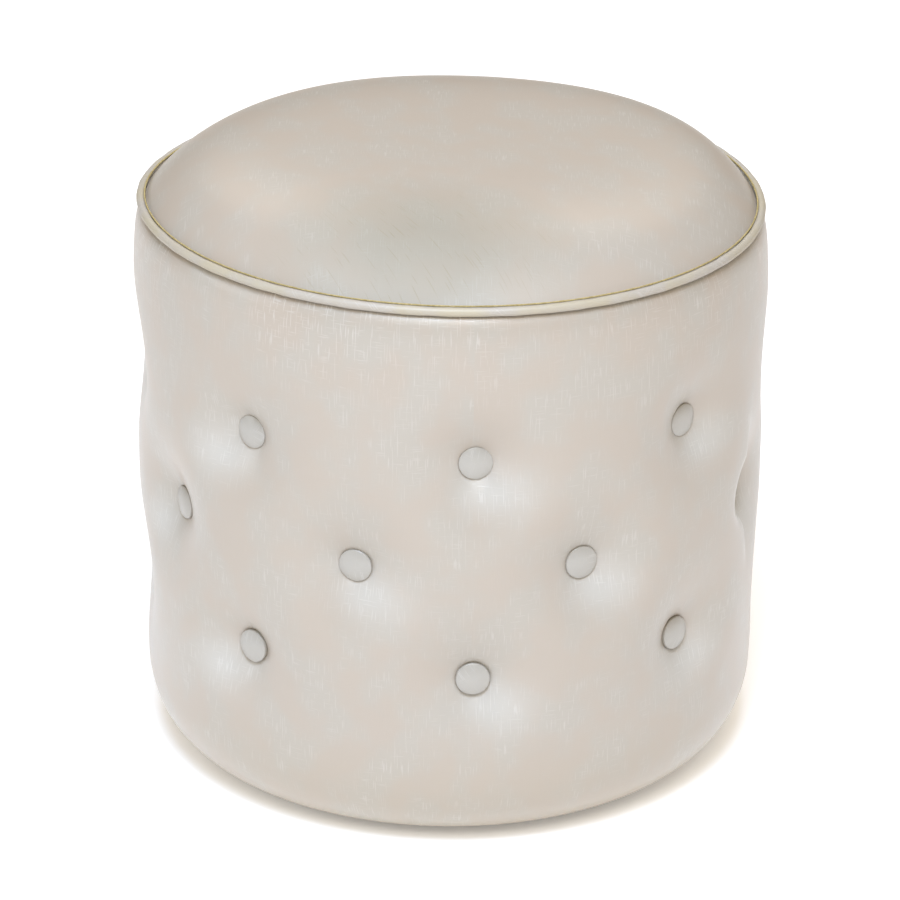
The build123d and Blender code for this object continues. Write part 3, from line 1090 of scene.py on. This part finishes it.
class OTTOMAN_OT_stage(bpy.types.Operator):
    """Make the floor, the lights and the camera"""

    bl_idname = "ottoman.stage"
    bl_label = "Stage"

    def execute(self, context):
        stage = settings("stage")
        context.scene.view_settings.view_transform = "Standard"
        self.floor(stage)
        world = bpy.data.worlds.new("White tent")
        world.use_nodes = True
        backdrop = world.node_tree.nodes["Background"]
        backdrop.inputs["Color"].default_value = opaque(stage.tent_tone)
        backdrop.inputs["Strength"].default_value = stage.world
        context.scene.world = world
        for name, watts, tone, size, angle, elevation in LAMPS:
            self.lamp(name, watts * stage.power, tone, size, math.radians(angle), math.radians(elevation))
        self.camera(stage)
        return {"FINISHED"}

    @staticmethod
    def floor(stage):
        floor = start(bpy.ops.mesh.primitive_plane_add, "floor", size=14)
        # White seamless paper: matt, with a faint glow that keeps it white, but not under the drum, so that a
        # contact shadow is painted there
        material, tree, surface = new_material(
            "Seamless paper", Base_Color=opaque(stage.floor), Roughness=0.9, Specular_IOR_Level=0.1,
            Emission_Color=(1, 0.99, 0.97, 1))
        place = add_node(tree, "TexCoord", output="Object")
        reach = add_node(tree, "VectorMath", [place], "Value", operation="LENGTH")
        glow = add_node(tree, "MapRange", [reach, *PAINTED_SHADOW_EDGE, 0.0, stage.floor_glow])
        tree.links.new(glow, surface.inputs["Emission Strength"])
        floor.data.materials.append(material)

    @staticmethod
    def lamp(name, power, tone, size, angle, elevation):
        """A softbox that faces the middle of the drum, at an angle round it and an elevation."""
        level = math.cos(elevation)
        toward = Vector((level * math.sin(angle), -level * math.cos(angle), math.sin(elevation)))
        bpy.ops.object.light_add(type="AREA", location=toward * LAMP_DISTANCE + Vector((0, 0, LAMP_AIM)))
        lamp = bpy.context.object
        lamp.name = name
        lamp.data.shape = "RECTANGLE"
        lamp.data.size, lamp.data.size_y = size
        lamp.data.energy = power
        lamp.data.color = linear(tone)
        lamp.rotation_euler = (-toward).to_track_quat("-Z", "Y").to_euler()

    @staticmethod
    def camera(stage):
        bpy.ops.object.select_all(action="DESELECT")
        aim = Vector((0, 0, stage.aim_height))
        back = Vector((0, -math.cos(stage.elevation), math.sin(stage.elevation)))
        bpy.ops.object.camera_add(location=aim + back * stage.distance)
        camera = bpy.context.object
        camera.name = "Photo camera"
        turn = (-back).to_track_quat("-Z", "Y").to_matrix().to_4x4() @ Matrix.Rotation(stage.roll, 4, "Z")
        camera.matrix_world = Matrix.Translation(camera.location) @ turn
        camera.data.sensor_width = 36
        camera.data.lens = stage.lens
        bpy.context.scene.camera = camera


# Add-on

OPERATORS = [
    OTTOMAN_OT_stage, OTTOMAN_OT_side_cover, OTTOMAN_OT_top_panel, OTTOMAN_OT_welt, OTTOMAN_OT_seam_thread,
    OTTOMAN_OT_buttons, OTTOMAN_OT_foam, OTTOMAN_OT_base, OTTOMAN_OT_frame_finishes,
]


class OTTOMAN_PT_panel(bpy.types.Panel):
    """Lists the pieces and their settings"""

    bl_idname = "OTTOMAN_PT_panel"
    bl_label = "Round Tufted Ottoman"
    bl_space_type = "VIEW_3D"
    bl_region_type = "UI"
    bl_category = "Ottoman"

    def draw(self, context):
        for operator in OPERATORS:
            self.layout.operator(operator.bl_idname)
        for name, group in GROUPS.items():
            box = self.layout.box()
            box.label(text=group.__doc__)
            for prop in group.__annotations__:
                box.prop(getattr(context.scene, name), prop)


CLASSES = [*GROUPS.values(), *OPERATORS, OTTOMAN_PT_panel]


def register():
    for one in CLASSES:
        bpy.utils.register_class(one)
    for name, group in GROUPS.items():
        setattr(bpy.types.Scene, name, PointerProperty(type=group))


def unregister():
    for name in GROUPS:
        delattr(bpy.types.Scene, name)
    for one in reversed(CLASSES):
        bpy.utils.unregister_class(one)


def main():
    register()
    bpy.ops.object.select_all(action="DESELECT")
    bpy.ops.ottoman.stage()
    bpy.ops.ottoman.side_cover()
    bpy.ops.ottoman.top_panel()
    bpy.ops.ottoman.welt()
    bpy.ops.ottoman.seam_thread()
    bpy.ops.ottoman.buttons()
    bpy.ops.ottoman.foam()
    bpy.ops.ottoman.base()
    bpy.ops.ottoman.frame_finishes()


if __name__ == "__main__":
    main()
